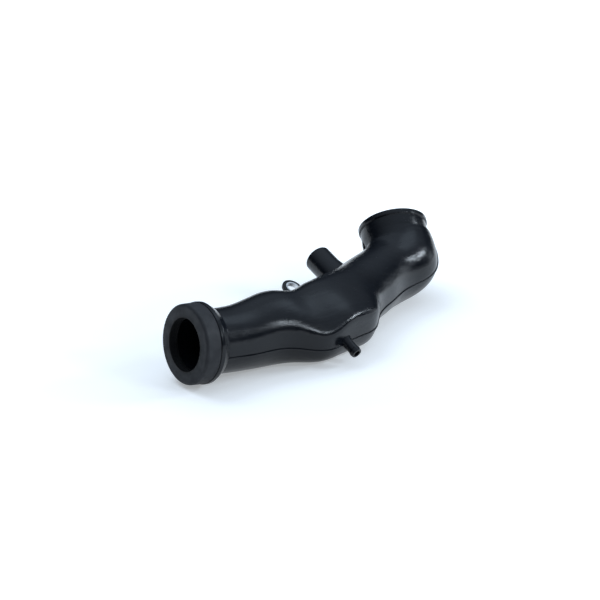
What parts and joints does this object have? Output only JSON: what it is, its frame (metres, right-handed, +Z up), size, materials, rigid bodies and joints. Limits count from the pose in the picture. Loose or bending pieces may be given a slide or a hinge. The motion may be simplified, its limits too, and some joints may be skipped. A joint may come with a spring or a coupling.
{
  "type": "air intake duct",
  "caption": "Moulded black engine air intake duct with a rubber inlet seal, wide chamber, elbow outlet, breather stub, vacuum nipple and bushed fixing ear.",
  "frame": {"origin": "middle of the inlet mouth, in the plane of the seal's front face", "axes": "+X along the inlet's heading into the duct, +Z up from the surface the duct lies on, +Y to the back, where the breather stub is"},
  "size_m": [0.3951, 0.2002, 0.102],
  "materials": {
    "duct": "satin",
    "seal": "matte",
    "bush": "brushed"
  },
  "bodies": {
    "root": {"intake_duct": "duct", "inlet_seal": "seal", "ear_bush": "bush"}
  },
  "joints": []
}
